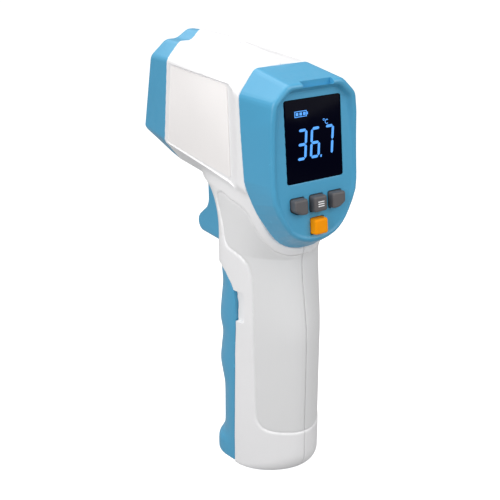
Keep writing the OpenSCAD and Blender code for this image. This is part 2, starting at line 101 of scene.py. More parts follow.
WALL = 2.0  # wall of the shells, the bezel and the door
GAP = 0.12  # gap at a joint between two mouldings
BLEND = 1.6  # fillet where two forms of the case meet

# Keys on the display face: the grey row, the orange key below it, and their size
KEY_V = -22.5
POWER_V = -30.7
KEY_PITCH = 8.2
KEY_SIDE = 5.8

# Hinge of the battery door: outside of its eyes, the room they turn in, and the pin's bore
EYE_R = 1.9
SWING_R = 2.45
PIN_BORE_R = 1.05
DOOR_TOP_Z = FACE_Z - 53.8


# ---------- distance helpers ----------

def smooth_max(a, b, k):
    """The larger of two distances, with the edge between them rounded over k."""
    h = np.maximum(k - np.abs(a - b), 0) / k
    return np.maximum(a, b) + h * h * k / 4


def smooth_min(a, b, k):
    """The smaller of two distances, with the corner between them filled over k."""
    return -smooth_max(-a, -b, k)


def clamp01(t):
    return np.clip(t, 0, 1)


def ease(t):
    """0 to 1 with flat ends."""
    t = clamp01(t)
    return t * t * (3 - 2 * t)


def mix(a, b, t):
    return a + (b - a) * t


def slab(t, lo, hi):
    """Distance to the space between two values of one coordinate."""
    return np.maximum(lo - t, t - hi)


def rod(y, z, cy, cz, r):
    """Distance to an endless cylinder along X."""
    return np.hypot(y - cy, z - cz) - r


def outline(u, v, points):
    """Distance to a closed outline in a plane. Its corners may be numbers or arrays."""
    near = np.full(u.shape, np.inf)
    inside = np.zeros(u.shape, bool)
    for (au, av), (bu, bv) in zip(points, points[1:] + points[:1]):
        eu, ev = bu - au, bv - av
        t = clamp01(((u - au) * eu + (v - av) * ev) / (eu * eu + ev * ev + 1e-12))
        near = np.minimum(near, (u - au - t * eu) ** 2 + (v - av - t * ev) ** 2)
        crosses = (av > v) != (bv > v)
        safe = np.where(np.abs(ev) < 1e-9, 1e-9, ev)
        inside ^= crosses & (u < au + (v - av) * eu / safe)
    return np.where(inside, -1, 1) * np.sqrt(near)


def arc(cu, cv, r, a, b, n=8):
    """Points on an arc, angles in degrees."""
    angles = np.radians(np.linspace(a, b, n + 1))
    return [(cu + r * math.cos(t), cv + r * math.sin(t)) for t in angles]


def curve(points, n=4):
    """A smooth curve through the points (Catmull-Rom), with its ends kept."""
    p = [points[0]] + list(points) + [points[-1]]
    made = []
    for i in range(1, len(p) - 2):
        a, b, c, d = (np.array(q, float) for q in p[i - 1:i + 3])
        for t in np.arange(n) / n:
            made.append(tuple(0.5 * (2 * b + (c - a) * t + (2 * a - 5 * b + 4 * c - d) * t ** 2
                                     + (3 * b - a - 3 * c + d) * t ** 3)))
    return made + [tuple(points[-1])]


def soften(points, r, n=3):
    """The closed outline with each corner replaced by a curve that starts r before it."""
    made = []
    for i, p in enumerate(points):
        p, a, b = (np.array(q, float) for q in (p, points[i - 1], points[(i + 1) % len(points)]))
        ra = min(r, np.linalg.norm(a - p) * 0.45)
        rb = min(r, np.linalg.norm(b - p) * 0.45)
        start = p + (a - p) / np.linalg.norm(a - p) * ra
        end = p + (b - p) / np.linalg.norm(b - p) * rb
        for t in np.linspace(0, 1, n + 1):
            made.append(tuple((1 - t) ** 2 * start + 2 * t * (1 - t) * p + t * t * end))
    return made


def on_face(y, z):
    """Depth behind the display face and height up it."""
    return (y - FACE_Y) * COS_T - (z - FACE_Z) * SIN_T, (y - FACE_Y) * SIN_T + (z - FACE_Z) * COS_T


def from_face(x, w, v):
    """The point at (x, v) on the face and w behind it."""
    return (x, FACE_Y + w * COS_T + v * SIN_T, FACE_Z - w * SIN_T + v * COS_T)


# ---------- contouring ----------

def slope(distance, p, e=0.04):
    """Unit gradient of a distance function at the points."""
    total = np.zeros_like(p)
    for k in np.array([[1, -1, -1], [-1, -1, 1], [-1, 1, -1], [1, 1, 1]], float):
        q = p + e * k
        total += k * distance(q[:, 0], q[:, 1], q[:, 2])[:, None]
    return total / (np.linalg.norm(total, axis=1)[:, None] + 1e-12)


def sample(distance, lo, hi, step):
    """The function on a grid over the box, worked out only near its surface."""
    blocks = np.ceil((hi - lo) / (step * BLOCK)).astype(int)
    middles = [lo[i] + step * BLOCK * (np.arange(blocks[i]) + 0.5) for i in range(3)]
    coarse = distance(*np.meshgrid(*middles, indexing="ij"))
    near = np.abs(coarse) < step * BLOCK * BLOCK_REACH
    field = np.pad(coarse.repeat(BLOCK, 0).repeat(BLOCK, 1).repeat(BLOCK, 2), ((0, 1),) * 3, mode="edge")
    wanted = np.pad(near.repeat(BLOCK, 0).repeat(BLOCK, 1).repeat(BLOCK, 2), ((0, 1),) * 3)
    wanted[1:] |= wanted[:-1].copy()
    wanted[:, 1:] |= wanted[:, :-1].copy()
    wanted[:, :, 1:] |= wanted[:, :, :-1].copy()
    p = lo + step * np.argwhere(wanted)
    field[wanted] = distance(p[:, 0], p[:, 1], p[:, 2])
    return field


def crossings(distance, field, lo, step, axis):
    """Where the grid's edges along an axis cross the surface: lower corners, points, and which way is out."""
    low = [slice(None)] * 3
    high = [slice(None)] * 3
    low[axis] = slice(0, -1)
    high[axis] = slice(1, None)
    f0, f1 = field[tuple(low)], field[tuple(high)]
    hit = (f0 < 0) != (f1 < 0)
    index = np.argwhere(hit)
    f0, f1 = f0[hit], f1[hit]
    t0, t1 = np.zeros(len(f0)), np.ones(len(f0))
    leaving = f0 < 0
    for _ in range(3):
        t = t0 + (t1 - t0) * f0 / (f0 - f1)
        p = lo + step * index
        p[:, axis] += step * t
        f = distance(p[:, 0], p[:, 1], p[:, 2])
        first = (f < 0) == (f0 < 0)
        t0, f0 = np.where(first, t, t0), np.where(first, f, f0)
        t1, f1 = np.where(first, t1, t), np.where(first, f1, f)
    return index, p, leaving


def contour(distance, lo, hi, step):
    """Vertices and quads of the surface where the function is zero (dual contouring, so edges stay crisp)."""
    step = step * STEP_SCALE
    lo = np.asarray(lo, float) - GRID_MARGIN * step
    hi = np.asarray(hi, float) + GRID_MARGIN * step
    field = sample(distance, lo, hi, step)
    shape = np.array(field.shape)
    cells, points, quads = [], [], []
    for axis in range(3):
        index, p, leaving = crossings(distance, field, lo, step, axis)
        b, c = (axis + 1) % 3, (axis + 2) % 3
        inner = (index[:, b] > 0) & (index[:, b] < shape[b] - 1)
        inner &= (index[:, c] > 0) & (index[:, c] < shape[c] - 1)
        index, p, leaving = index[inner], p[inner], leaving[inner]
        ring = []
        for db, dc in ((1, 1), (0, 1), (0, 0), (1, 0)):
            cell = index.copy()
            cell[:, b] -= db
            cell[:, c] -= dc
            ring.append(np.ravel_multi_index(cell.T, shape))
        ring = np.stack(ring, 1)
        quads.append(np.where(leaving[:, None], ring, ring[:, ::-1]))
        cells.append(ring.ravel())
        points.append(np.repeat(p, 4, 0))
    cells, points, quads = np.concatenate(cells), np.concatenate(points), np.concatenate(quads)
    normals = np.repeat(slope(distance, points[::4]), 4, 0)
    names, cells = np.unique(cells, return_inverse=True)
    total = len(names)

    def gather(values):
        return np.stack([np.bincount(cells, values[:, i], total) for i in range(values.shape[1])], 1)

    count = np.bincount(cells, minlength=total)[:, None]
    middle = gather(points) / count
    lean = (normals * (points - middle[cells])).sum(1)[:, None]
    square = gather((normals[:, :, None] * normals[:, None, :]).reshape(-1, 9)).reshape(-1, 3, 3)
    pull = gather(normals * lean)
    shift = np.linalg.solve(square + FIRMNESS * np.eye(3), pull[:, :, None])[:, :, 0]
    base = lo + step * np.stack(np.unravel_index(names, shape), 1)
    vertices = np.clip(middle + shift, base, base + step)
    smooth = np.linalg.norm(gather(normals) / count, axis=1) > SMOOTH_SHARE
    flat = vertices[smooth]
    vertices[smooth] -= slope(distance, flat) * distance(flat[:, 0], flat[:, 1], flat[:, 2])[:, None]
    return vertices, np.searchsorted(names, quads)


# ---------- meshes ----------

SHARP_ANGLE = math.radians(40)


def place(name, mesh, material, body, nodes=()):
    """Links a mesh as a piece that rides on a body and stands for CAD nodes."""
    piece = bpy.data.objects.new(name, mesh)
    bpy.context.scene.collection.objects.link(piece)
    mesh.materials.append(material)
    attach(piece, body)
    if nodes:
        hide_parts(*nodes)


def moulding(name, distance, lo, hi, step):
    """The mesh of a distance function."""
    vertices, quads = contour(distance, lo, hi, step)
    mesh = bpy.data.meshes.new(name)
    mesh.vertices.add(len(vertices))
    mesh.vertices.foreach_set("co", (vertices * MM).astype(np.float32).ravel())
    mesh.loops.add(quads.size)
    mesh.loops.foreach_set("vertex_index", quads.astype(np.int32).ravel())
    mesh.polygons.add(len(quads))
    mesh.polygons.foreach_set("loop_start", np.arange(0, quads.size, 4, dtype=np.int32))
    mesh.polygons.foreach_set("use_smooth", np.ones(len(quads), bool))
    mesh.update(calc_edges=True)
    mesh.validate()
    mesh.set_sharp_from_angle(angle=SHARP_ANGLE)
    return mesh


def paint(mesh, name, values):
    """Stores one number per vertex, which a material reads."""
    layer = mesh.attributes.new(name, "FLOAT", "POINT")
    layer.data.foreach_set("value", values.astype(np.float32))


def vertex_places(mesh):
    """The mesh's vertices in millimetres."""
    co = np.zeros(len(mesh.vertices) * 3, np.float32)
    mesh.vertices.foreach_get("co", co)
    return co.reshape(-1, 3).astype(float) / MM


def plate(name, outlines, lift, bevel=0.0):
    """Flat plates from outlines: lift(u, v, side) gives the point on side 0 or 1 of a plate."""
    bm = bmesh.new()
    for points in outlines:
        rings = [[bm.verts.new([c * MM for c in lift(u, v, side)]) for u, v in points] for side in (0, 1)]
        bm.faces.new(rings[0])
        bm.faces.new(rings[1][::-1])
        for i in range(len(points)):
            j = (i + 1) % len(points)
            bm.faces.new([rings[0][j], rings[0][i], rings[1][i], rings[1][j]])
    bmesh.ops.recalc_face_normals(bm, faces=bm.faces)
    if bevel:
        rims = [e for e in bm.edges if e.calc_face_angle(0) > math.radians(50)]
        bmesh.ops.bevel(bm, geom=rims, offset=bevel * MM, segments=2, affect="EDGES", profile=0.6)
    mesh = bpy.data.meshes.new(name)
    bm.to_mesh(mesh)
    bm.free()
    mesh.shade_smooth()
    mesh.set_sharp_from_angle(angle=SHARP_ANGLE)
    return mesh


# ---------- outer form ----------

# Head section at the bezel and at the nose: half widths and heights from the display's centre
HEAD_REAR = dict(top_w=11.5, top=22.3, shoulder=14.2, crest=-19.6, low=-26.5, low_w=12.0, half=18.9)
HEAD_FORE = dict(top_w=11.5, top=24.2, shoulder=18.5, crest=-14.6, low=-24.0, low_w=11.0, half=18.9)
NOSE_FRONT = dict(top_w=11.0, top=23.4, shoulder=17.2, crest=-13.5, low=-20.5, low_w=10.5, half=17.1)
NOSE_LEAN = math.tan(math.radians(6.8))
FRONT_LEAN = math.tan(math.radians(14))
STEP_H = 18.6  # above this height the nose joint runs forwards over the roof at this slope
STEP_SLOPE = 0.62
BEYOND = (-0.4, 1.3)  # how far a section goes on changing past its two ends
FACET_EDGE = 0.8  # rounding between the facets of the head
ROOF_CROWN = 0.9
SHOULDER_LIFT = 2.2  # the shoulder rises by this over the first stretch behind the bezel
SHOULDER_RUN = 7


def eight_sided(x, h, rear, fore, s, inset, k, crown=0.0, lift=0.0):
    """Distance to a chamfered tube whose section runs from rear to fore as s goes from 0 to 1."""
    q = {name: mix(rear[name], fore[name], s) for name in rear}
    q["shoulder"] = q["shoulder"] + lift
    ax = np.abs(x)

    def facet(u0, v0, u1, v1):
        run, rise = u1 - u0, v1 - v0
        length = np.hypot(run, rise)
        return ((ax - u0) * rise - (h - v0) * run) / -length

    roof = h - q["top"] - crown * (1 - clamp01(ax / q["top_w"]))
    d = smooth_max(ax - q["half"], roof, k)
    d = smooth_max(d, facet(q["top_w"], q["top"], q["half"], q["shoulder"]), k)
    d = smooth_max(d, facet(q["half"], q["crest"], q["low_w"], q["low"]), k)
    d = smooth_max(d, q["low"] - h, k)
    return d + inset


def nose_joint(h):
    """Y of the joint with the nose cap at a height from the display's centre."""
    return NOSE_JOINT_Y - h * NOSE_LEAN + STEP_SLOPE * np.maximum(h - STEP_H, 0)


def head(x, y, z, inset=0.0):
    """The white part of the head, endless in both directions."""
    h = z - FACE_Z
    rear = JOINT_Y + h * TAN_T
    fore = NOSE_JOINT_Y - h * NOSE_LEAN
    s = np.clip((y - rear) / (fore - rear), *BEYOND)
    lift = SHOULDER_LIFT * ease((y - rear) / SHOULDER_RUN) * (1 - clamp01(s))
    return eight_sided(x, h, HEAD_REAR, HEAD_FORE, s, inset, FACET_EDGE, ROOF_CROWN * (1 - clamp01(s)), lift)


# Ridge on the roof: heights above the display's centre, the stretch over which it rises, and its flared sides
RIDGE_LOW = 22.0
RIDGE_TOP = 27.75
RIDGE_START = 2
RIDGE_RUN = 34
RIDGE_HALF_W = 3.0
RIDGE_FLARE = 5.0
FLARE_TOP = 27.4
FLARE_DROP = 4.2
RIDGE_EDGE = 2.6
RIDGE_ROOT = 15


def ridge(x, y, z):
    """The raised ridge along the roof, fading towards the rear."""
    h = z - FACE_Z
    height = mix(RIDGE_LOW, RIDGE_TOP, ease((y - RIDGE_START) / RIDGE_RUN))
    side = RIDGE_HALF_W + RIDGE_FLARE * clamp01((FLARE_TOP - h) / FLARE_DROP) ** 1.5
    return np.maximum(smooth_max(h - height, np.abs(x) - side, RIDGE_EDGE), RIDGE_ROOT - h)


# Handle: half sizes, how much wider the finger side is, and where its middle lies
GRIP_HALF_W = 17.7
GRIP_HALF_D = 20.5
GRIP_EGG = 0.2
GRIP_Y = 1.4
# Exponents of its oval section (2 is an ellipse, more is squarer)
FINGER_POWER = 2.8
PALM_POWER = 2.0
NECK_POWER = 3.4
# Neck: heights between which it grows into the head, how far its back draws in, and the sweep of its front
TAPER_Z = FACE_Z - 80
NECK_LOW_Z = FACE_Z - 46
NECK_TOP_Z = FACE_Z - 20
NECK_IN = 4.0
NECK_R = 22.5
NECK_HALF_W = 18.0
NECK_HALF_D = 22
# Base: where it starts to rise towards the back, its slope there, and its rounding in front and behind
HEEL_START = -9
HEEL_SOFT = 8
HEEL_RISE = 0.35
BASE_EDGE = 1.6
HEEL_EDGE = 8.0
HEEL_EDGE_RUN = 18


def stalk(x, y, z, inset=0.0):
    """Handle and neck: an egg-shaped section whose finger side sweeps forwards into the head."""
    grown = clamp01((z - NECK_LOW_Z) / (NECK_TOP_Z - NECK_LOW_Z))
    rise = np.clip(z - NECK_LOW_Z, 0, NECK_R - 0.6)
    reach = GRIP_HALF_D + NECK_R - np.sqrt(NECK_R ** 2 - rise ** 2)
    drawn_in = NECK_IN * ease((z - TAPER_Z) / (NECK_LOW_Z - TAPER_Z))
    back = mix(GRIP_HALF_D - drawn_in, NECK_HALF_D, grown)
    front = y > GRIP_Y
    depth = np.where(front, reach, back) - inset
    power = np.where(front, FINGER_POWER, mix(PALM_POWER, NECK_POWER, grown))
    v = (y - GRIP_Y) / depth
    width = mix(GRIP_HALF_W * (1 + GRIP_EGG * np.clip(v, -1, 1)), NECK_HALF_W, grown) - inset
    u = np.abs(x) / width
    v = np.abs(v)
    size = u ** power + v ** power + 1e-9
    rate = size ** (1 / power - 1) * np.hypot(u ** (power - 1) / width, v ** (power - 1) / depth)
    d = (size ** (1 / power) - 1) / (rate + 1e-6)
    top = z - (NECK_TOP_Z + 2 - inset)
    d = smooth_max(d, top, 1.0)
    heel = inset - z + HEEL_RISE * smooth_max(HEEL_START - y, 0, HEEL_SOFT)
    edge = mix(BASE_EDGE, HEEL_EDGE, clamp01((GRIP_Y - y) / HEEL_EDGE_RUN))
    return smooth_max(d, heel, edge)


def body(x, y, z):
    """Head, neck and handle as one form."""
    return smooth_min(head_span(x, y, z), stalk(x, y, z), BLEND)


def head_span(x, y, z, inset=0.0):
    """The head between a little behind the bezel joint and a little past the nose joint."""
    h = z - FACE_Z
    return np.maximum(head(x, y, z, inset), slab(y, JOINT_Y - 14, NOSE_JOINT_Y + 10))


def from_centre(points):
    """Side-view points whose heights are given from the display's centre."""
    return [(y, FACE_Z + h) for y, h in points]


# Side view of the joint between bezel and shells, from the roof down to the chin
JOINT_LINE = from_centre([(JOINT_Y + 2.6, 24), (JOINT_Y + 1.2, 13), (JOINT_Y - 2.2, -16)])
CHIN_LINE = from_centre([(JOINT_Y - 2.2, -16), (-5.8, -19.8), (-8.7, -25.8), (-10.9, -31), (-12.4, -36.4),
                         (-14.4, -40.1)])
UNDER_LINE = from_centre([(-14.4, -40.1), (-16, -41), (-18.5, -41.2), (-45, -41.2)])
BEZEL_ZONE = (JOINT_LINE[:-1] + curve(CHIN_LINE, 3) + UNDER_LINE[1:]
              + [(-45, FACE_Z + 40), (JOINT_Y + 4.4, FACE_Z + 40)])


def behind_joint(y, z):
    """Negative where the bezel is."""
    return outline(y, z, BEZEL_ZONE)


# Side view of the battery door
DOOR_ZONE = ([(40, -8), (40, DOOR_TOP_Z), (12.9, DOOR_TOP_Z)]
             + curve([(12.1, DOOR_TOP_Z - 0.4), (8.8, DOOR_TOP_Z - 2.2), (5.4, DOOR_TOP_Z - 5.8),
                      (3.6, DOOR_TOP_Z - 9.4), (3, DOOR_TOP_Z - 15), (3.1, DOOR_TOP_Z - 24),
                      (3.6, DOOR_TOP_Z - 40)], 3)
             + [(4, HINGE_Z + 4), (4, -8)])

# Side view of the sunk panel on the handle and of the recess around the side label
PANEL = (curve(from_centre([(15.2, -26), (16.6, -28), (16, -31), (13.5, -34.6), (11.2, -38.8), (9.9, -42.6),
                            (7.6, -45), (3.8, -45.8)]), 3)
         + curve(from_centre([(0.4, -46.8), (-2.3, -49), (-3.6, -52.4), (-4.1, -56), (-4.8, -66),
                              (-5.7, -90), (-6.2, -109)]), 3)
         + curve(from_centre([(-6.6, -113.6), (-8.4, -116.6), (-11.6, -118), (-16, -118)]), 3)
         + from_centre([(-40, -118), (-40, -44.7)])
         + curve(from_centre([(-15.8, -44.7), (-13.6, -44), (-11.4, -41.6), (-9.2, -37.2), (-6.7, -32),
                              (-4.2, -28.6), (0, -26.9), (7, -26), (12.2, -24.8)]), 3))
LABEL = from_centre([(47.6, 16.3), (7.3, 15.9), (5.4, -17.5), (51.8, -14.6)])
LABEL_RECESS = from_centre([(48.6, 17.2), (5.4, 17), (2.6, 15.2), (1.2, 12), (-0.3, -14), (0.2, -19.5),
                            (1.8, -21.4), (6, -19.4), (53, -15.2)])
RECESS_DEPTH = 0.95
RECESS_EDGE = 0.7  # width of the recess's drafted edge
RECESS_START = 0.2  # share of the depth that the recess has at its rear edge
RECESS_RAMP = 4.2  # length of the slope from there down to the floor

# Grip panel: its depth and edge, and the fine groove around it
PANEL_DEPTH = 0.28
PANEL_EDGE = 0.8
GROOVE_DEPTH = 0.3
GROOVE_W = 0.42

# Scoop beside the door's top edge: its depth, and its stretch along the handle
PULL_DEPTH = 1.3
PULL_LOW_Z = FACE_Z - 74
PULL_TOP_Z = FACE_Z - 61.5


def panel_sink(y, z):
    """How deep the skin is moulded in: a sunk panel with a fine groove around it."""
    edge = outline(y, z, PANEL)
    return PANEL_DEPTH * ease(0.5 - edge / PANEL_EDGE) + GROOVE_DEPTH * np.exp(-(edge / GROOVE_W) ** 2)


def thumb_pull(y, z):
    """Side view of the scoop beside the door's top edge."""
    return smooth_max(slab(y, -1.6, 20), slab(z, PULL_LOW_Z, PULL_TOP_Z), 1.6)


def skin(x, y, z):
    """The outside of the white case with its panel, label recess and thumb pulls."""
    d = smooth_min(body(x, y, z), np.maximum(ridge(x, y, z), slab(y, 0, NOSE_JOINT_Y + 10)), BLEND)
    sunk = -outline(y, z, LABEL_RECESS)
    rear_edge = mix(1.2, -0.3, (FACE_Z + 12 - z) / 26)
    ramp = RECESS_START + (1 - RECESS_START) * clamp01((y - rear_edge) / RECESS_RAMP)
    floor = HEAD_HALF_W - RECESS_DEPTH * np.minimum(clamp01(sunk / RECESS_EDGE), ramp)
    in_recess = np.where(sunk > 0, np.abs(x) - floor, -9.0)
    d = np.maximum(d, in_recess)
    d = d + panel_sink(y, z)
    return np.maximum(d, -smooth_max(thumb_pull(y, z), -(d + PULL_DEPTH), 0.8))


# Case screws: Y and Z of each, and how far its bore reaches to either side
SCREWS = [(31, FACE_Z + 13, 14), (28, FACE_Z - 9.4, 14), (1.6, FACE_Z - 10, 14), (0, FACE_Z - 53, 11.2),
          (-8, 8.5, 8.4)]
BOSS_R = 3.2
BOSS_END = 3.4  # the boss goes on past the bore by this
THREAD_R = 1.0
SHANK_R = 1.25
SCREW_HEAD_R = 2.5
SCREW_HEAD_SEAT = 2
TRIGGER_BORE_R = 1.55
TRIGGER_SIDE_GAP = 0.4
SEAM_EDGE = 0.45  # rounding along the seam between the halves
SEAM_GAP = 0.03


def half_case(side):
    """One half of the white case: side is -1 for left and 1 for right."""
    def distance(x, y, z):
        inner = np.minimum(head_span(x, y, z, WALL), stalk(x, y, z, WALL))
        outer = skin(x, y, z)
        d = np.maximum(outer, -inner)
        for sy, sz, reach in SCREWS:
            tube = np.maximum(rod(y, z, sy, sz, BOSS_R), np.abs(x) - reach - BOSS_END)
            d = np.minimum(d, np.maximum(tube, outer + 0.8))
        d = smooth_max(d, GAP / 2 - behind_joint(y, z), 0.7)
        d = smooth_max(d, y - nose_joint(z - FACE_Z), 0.5)
        d = smooth_max(d, GAP - outline(y, z, DOOR_ZONE), 0.5)
        x0 = TRIGGER_HALF_W + TRIGGER_SIDE_GAP
        slot = np.maximum(np.abs(x) - x0, slab(y, 12, 43))
        d = smooth_max(d, -np.maximum(slot, slab(z, PIVOT_Z - 36, PIVOT_Z)), 0.6)
        boss = np.maximum(rod(y, z, PIVOT_Y, PIVOT_Z, 3), slab(np.abs(x), x0, TRIGGER_HALF_W + 4.9))
        web = np.maximum(slab(y, PIVOT_Y - 1.5, PIVOT_Y + 1.5), slab(z, PIVOT_Z + 1.6, PIVOT_Z + 5.6))
        web = np.maximum(web, slab(np.abs(x), x0, 14.6))
        d = np.minimum(d, np.minimum(boss, web))
        lug = np.maximum(slab(y, -7, HINGE_Y), slab(z, 1, HINGE_Z + EYE_R))
        lug = np.minimum(rod(y, z, HINGE_Y, HINGE_Z, EYE_R), lug)
        d = np.minimum(d, np.maximum(np.maximum(lug, slab(np.abs(x), 9.5, 12.3)), outer + 0.5))
        for sy, sz, reach in SCREWS:
            bore = rod(y, z, sy, sz, THREAD_R if side < 0 else SHANK_R)
            d = np.maximum(d, -np.maximum(bore, np.abs(x) - reach))
            if side > 0:
                head_hole = np.maximum(rod(y, z, sy, sz, SCREW_HEAD_R), reach - SCREW_HEAD_SEAT - x)
                d = np.maximum(d, -head_hole)
        d = np.maximum(d, -np.maximum(rod(y, z, PIVOT_Y, PIVOT_Z, TRIGGER_BORE_R), np.abs(x) - 11.2))
        d = np.maximum(d, -np.maximum(rod(y, z, HINGE_Y, HINGE_Z, PIN_BORE_R), np.abs(x) - 16))
        return smooth_max(d, SEAM_GAP - side * x, SEAM_EDGE)
    return distance


# ---------- bezel ----------

# Half outlines of the bezel from the roof to the chin: its rim, its joint with the shells, and its recess
RIM = [(11.8, 20), (17.6, 14.5), (18.5, 8), (18.6, -14), (18, -20.5), (14.5, -27.6), (11.5, -31.6),
       (7.7, -34.4), (2.5, -35.9)]
BACK = [(11.5, 22.5), (18.8, 14.1), (19.1, 2), (19.0, -16), (17.6, -24.2), (15.5, -30), (11, -37.3),
        (8, -39.8), (3, -42.2)]
INNER = [(10.4, 18.2), (15.8, 13.4), (16.5, 8), (16.8, -5), (16.9, -14), (16, -20.5), (12.9, -27.4),
         (10.9, -31.2), (6.4, -34), (2, -34.9)]
RIM_OUT = 0.7  # how far the hood's edge stands out past the display's centre
LIP_OUT = 0.45  # how far the lip below stands out from the face
RIM_EDGE = 1.6
RECESS_DRAFT = 0.55  # the recess narrows by this for each millimetre of depth
DRAFT_SCALE = 0.88  # turns the drafted wall's value back into a distance
WINDOW_GAP = 0.12
KEY_GAP = 0.22

# Slot in the rim: middle, width, heights, how its floor falls, and depth
SLOT_X = 0.9
SLOT_W = 13.2
SLOT_LOW = 18.6
SLOT_TOP = 20.5
SLOT_FALL = 0.3
SLOT_DEPTH = 2.4

# Posts that the circuit board is screwed to, as places on the face
BOARD_POSTS = [(-7.5, 16.2), (7.5, 16.2), (-7, -28.6), (7, -28.6)]
POST_R = 1.8
POST_BORE_R = 0.95


def ring(points):
    """A half outline closed on the far side of the middle: softened top corners, then a smooth chin."""
    far = -20
    turn = 4    # points that soften() puts in place of a corner
    upper = soften([(far, points[0][1])] + points[:4] + [(far, points[3][1] - 9)], RIM_EDGE)
    chin = curve(points[3:] + [(-points[-1][0], points[-1][1])], 2)
    return [(far, points[0][1])] + upper[turn:-2 * turn] + chin + [(far, points[-1][1])]


RIM_RING = ring(RIM)
BACK_RING = ring(BACK)
INNER_RING = ring(INNER)


def rim_y(h):
    """Y of the rim at a height from the display's centre: a hood above, then a thin lip along the face."""
    return -smooth_max(-(FACE_Y - RIM_OUT), -(FACE_Y + h * TAN_T - LIP_OUT), 2.0)


def joint_y(h):
    """Y of the joint with the shells at a height from the display's centre."""
    line = sorted((z - FACE_Z, y) for y, z in BEZEL_ZONE if y > UNDER_LINE[0][0] - 0.1)
    return np.interp(h, [q[0] for q in line], [q[1] for q in line])


def bezel_block(x, y, z, inset=0.0):
    """The bezel's outer form between its rim and the joint."""
    h = z - FACE_Z
    start = rim_y(h)
    s = np.clip((y - start) / (joint_y(h) - start), -0.2, 1.1)
    points = [(mix(a[0], b[0], s), mix(a[1], b[1], s)) for a, b in zip(RIM_RING, BACK_RING)]
    return outline(np.abs(x), h, points) + inset


def bezel(x, y, z):
    """Blue bezel: hooded rim, drafted recess, window rebate, key holes and a slot in the rim."""
    h = z - FACE_Z
    w, v = on_face(y, z)
    front = rim_y(h) - y
    d = smooth_max(bezel_block(x, y, z), front, RIM_EDGE)
    inner = bezel_block(x, y, z, WALL)
    d = np.maximum(d, -np.maximum(inner, WALL - w))
    d = smooth_max(d, behind_joint(y, z) + GAP / 2, 0.5)
    wall = (outline(np.abs(x), v, INNER_RING) + RECESS_DRAFT * np.maximum(-front, 0)) * DRAFT_SCALE
    d = smooth_max(d, -smooth_max(wall, w, 0.6), 0.7)
    rebate = smooth_max(np.abs(x) - WINDOW_W / 2 - WINDOW_GAP, np.abs(v) - WINDOW_H / 2 - WINDOW_GAP, 1.2)
    d = smooth_max(d, -np.maximum(rebate, w - WINDOW_T - 0.05), 0.25)
    opening = np.maximum(np.abs(x) - WINDOW_W / 2 + 1.5, np.abs(v) - WINDOW_H / 2 + 1.5)
    d = np.maximum(d, -np.maximum(opening, w - 5))
    for kx, kv in key_places():
        hole = key_section(x - kx, v - kv, kx, KEY_SIDE / 2) - KEY_GAP
        d = smooth_max(d, -np.maximum(hole, w - 5), 0.35)
    slot = smooth_max(np.abs(x - SLOT_X) - SLOT_W / 2, slab(h, SLOT_LOW + SLOT_FALL * front, SLOT_TOP), 0.3)
    d = smooth_max(d, -smooth_max(slot, -front - SLOT_DEPTH, 0.2), 0.15)
    for px, pv in BOARD_POSTS:
        post = np.maximum(np.hypot(x - px, v - pv) - POST_R, slab(w, 1.5, 7.9))
        d = np.minimum(d, np.maximum(post, POST_BORE_R - np.hypot(x - px, v - pv)))
    return d


def key_places():
    """Centre of each key on the face."""
    return [(-KEY_PITCH, KEY_V), (0, KEY_V), (KEY_PITCH, KEY_V), (0, POWER_V)]


KEY_CORNER = 0.9
CUT_ACROSS = 0.526  # direction of the cut across an outer key's corner, and its place
CUT_DOWN = 0.85
CUT_OFF = 2.5


def key_section(u, v, kx, half):
    """A key's rounded square about its centre. The outer keys have their lower outside corner cut off."""
    d = smooth_max(np.abs(u) - half, np.abs(v) - half, KEY_CORNER)
    if kx:
        cut = u * math.copysign(CUT_ACROSS, kx) - v * CUT_DOWN - CUT_OFF - half + KEY_SIDE / 2
        d = smooth_max(d, cut, 0.6)
    return d


# ---------- nose cap ----------

NOSE_WALL = 2.3
NOSE_FACET_EDGE = 1.0
RIDGE_FALL = 1.0  # the ridge comes down by this on the cap
CUT_H = -17.4  # height at which the slanting cut below the nose meets its front
CUT_DIP = 0.62  # the cut's direction
CUT_RISE = 0.78
FRONT_WALL = 3
MOUTH_H = 1  # middle of the sensor's mouth, its radius, and the groove around it
MOUTH_R = 11.0
RING_R = 12.6
RING_GROOVE = 0.7


def nose(x, y, z):
    """Blue cap on the nose, with its ridge and the sensor's round mouth."""
    h = z - FACE_Z
    rear = NOSE_JOINT_Y - h * NOSE_LEAN
    fore = NOSE_FRONT_Y - h * FRONT_LEAN
    s = np.clip((y - rear) / (fore - rear), *BEYOND)
    d = eight_sided(x, h, HEAD_FORE, NOSE_FRONT, s, 0, NOSE_FACET_EDGE)
    d = smooth_min(d, ridge(x, y, z + RIDGE_FALL * clamp01(s)), BLEND)
    d = smooth_max(d, (y - fore) / math.hypot(1, FRONT_LEAN), 1.2)
    cut = (y - NOSE_FRONT_Y) * CUT_DIP - (h - CUT_H) * CUT_RISE
    d = smooth_max(d, cut, 2.4)
    d = smooth_max(d, nose_joint(h) + GAP - y, 0.5)
    inner = eight_sided(x, h, HEAD_FORE, NOSE_FRONT, s, NOSE_WALL, NOSE_FACET_EDGE)
    inner = np.maximum(inner, cut + 2.5)
    d = np.maximum(d, -np.maximum(inner, y - fore + FRONT_WALL))
    bore = np.hypot(x, h - MOUTH_H)
    d = smooth_max(d, MOUTH_R - bore, 0.8)
    groove = np.hypot(bore - RING_R, y - fore) - RING_GROOVE
    return smooth_max(d, -groove, 0.4)


# ---------- trigger ----------

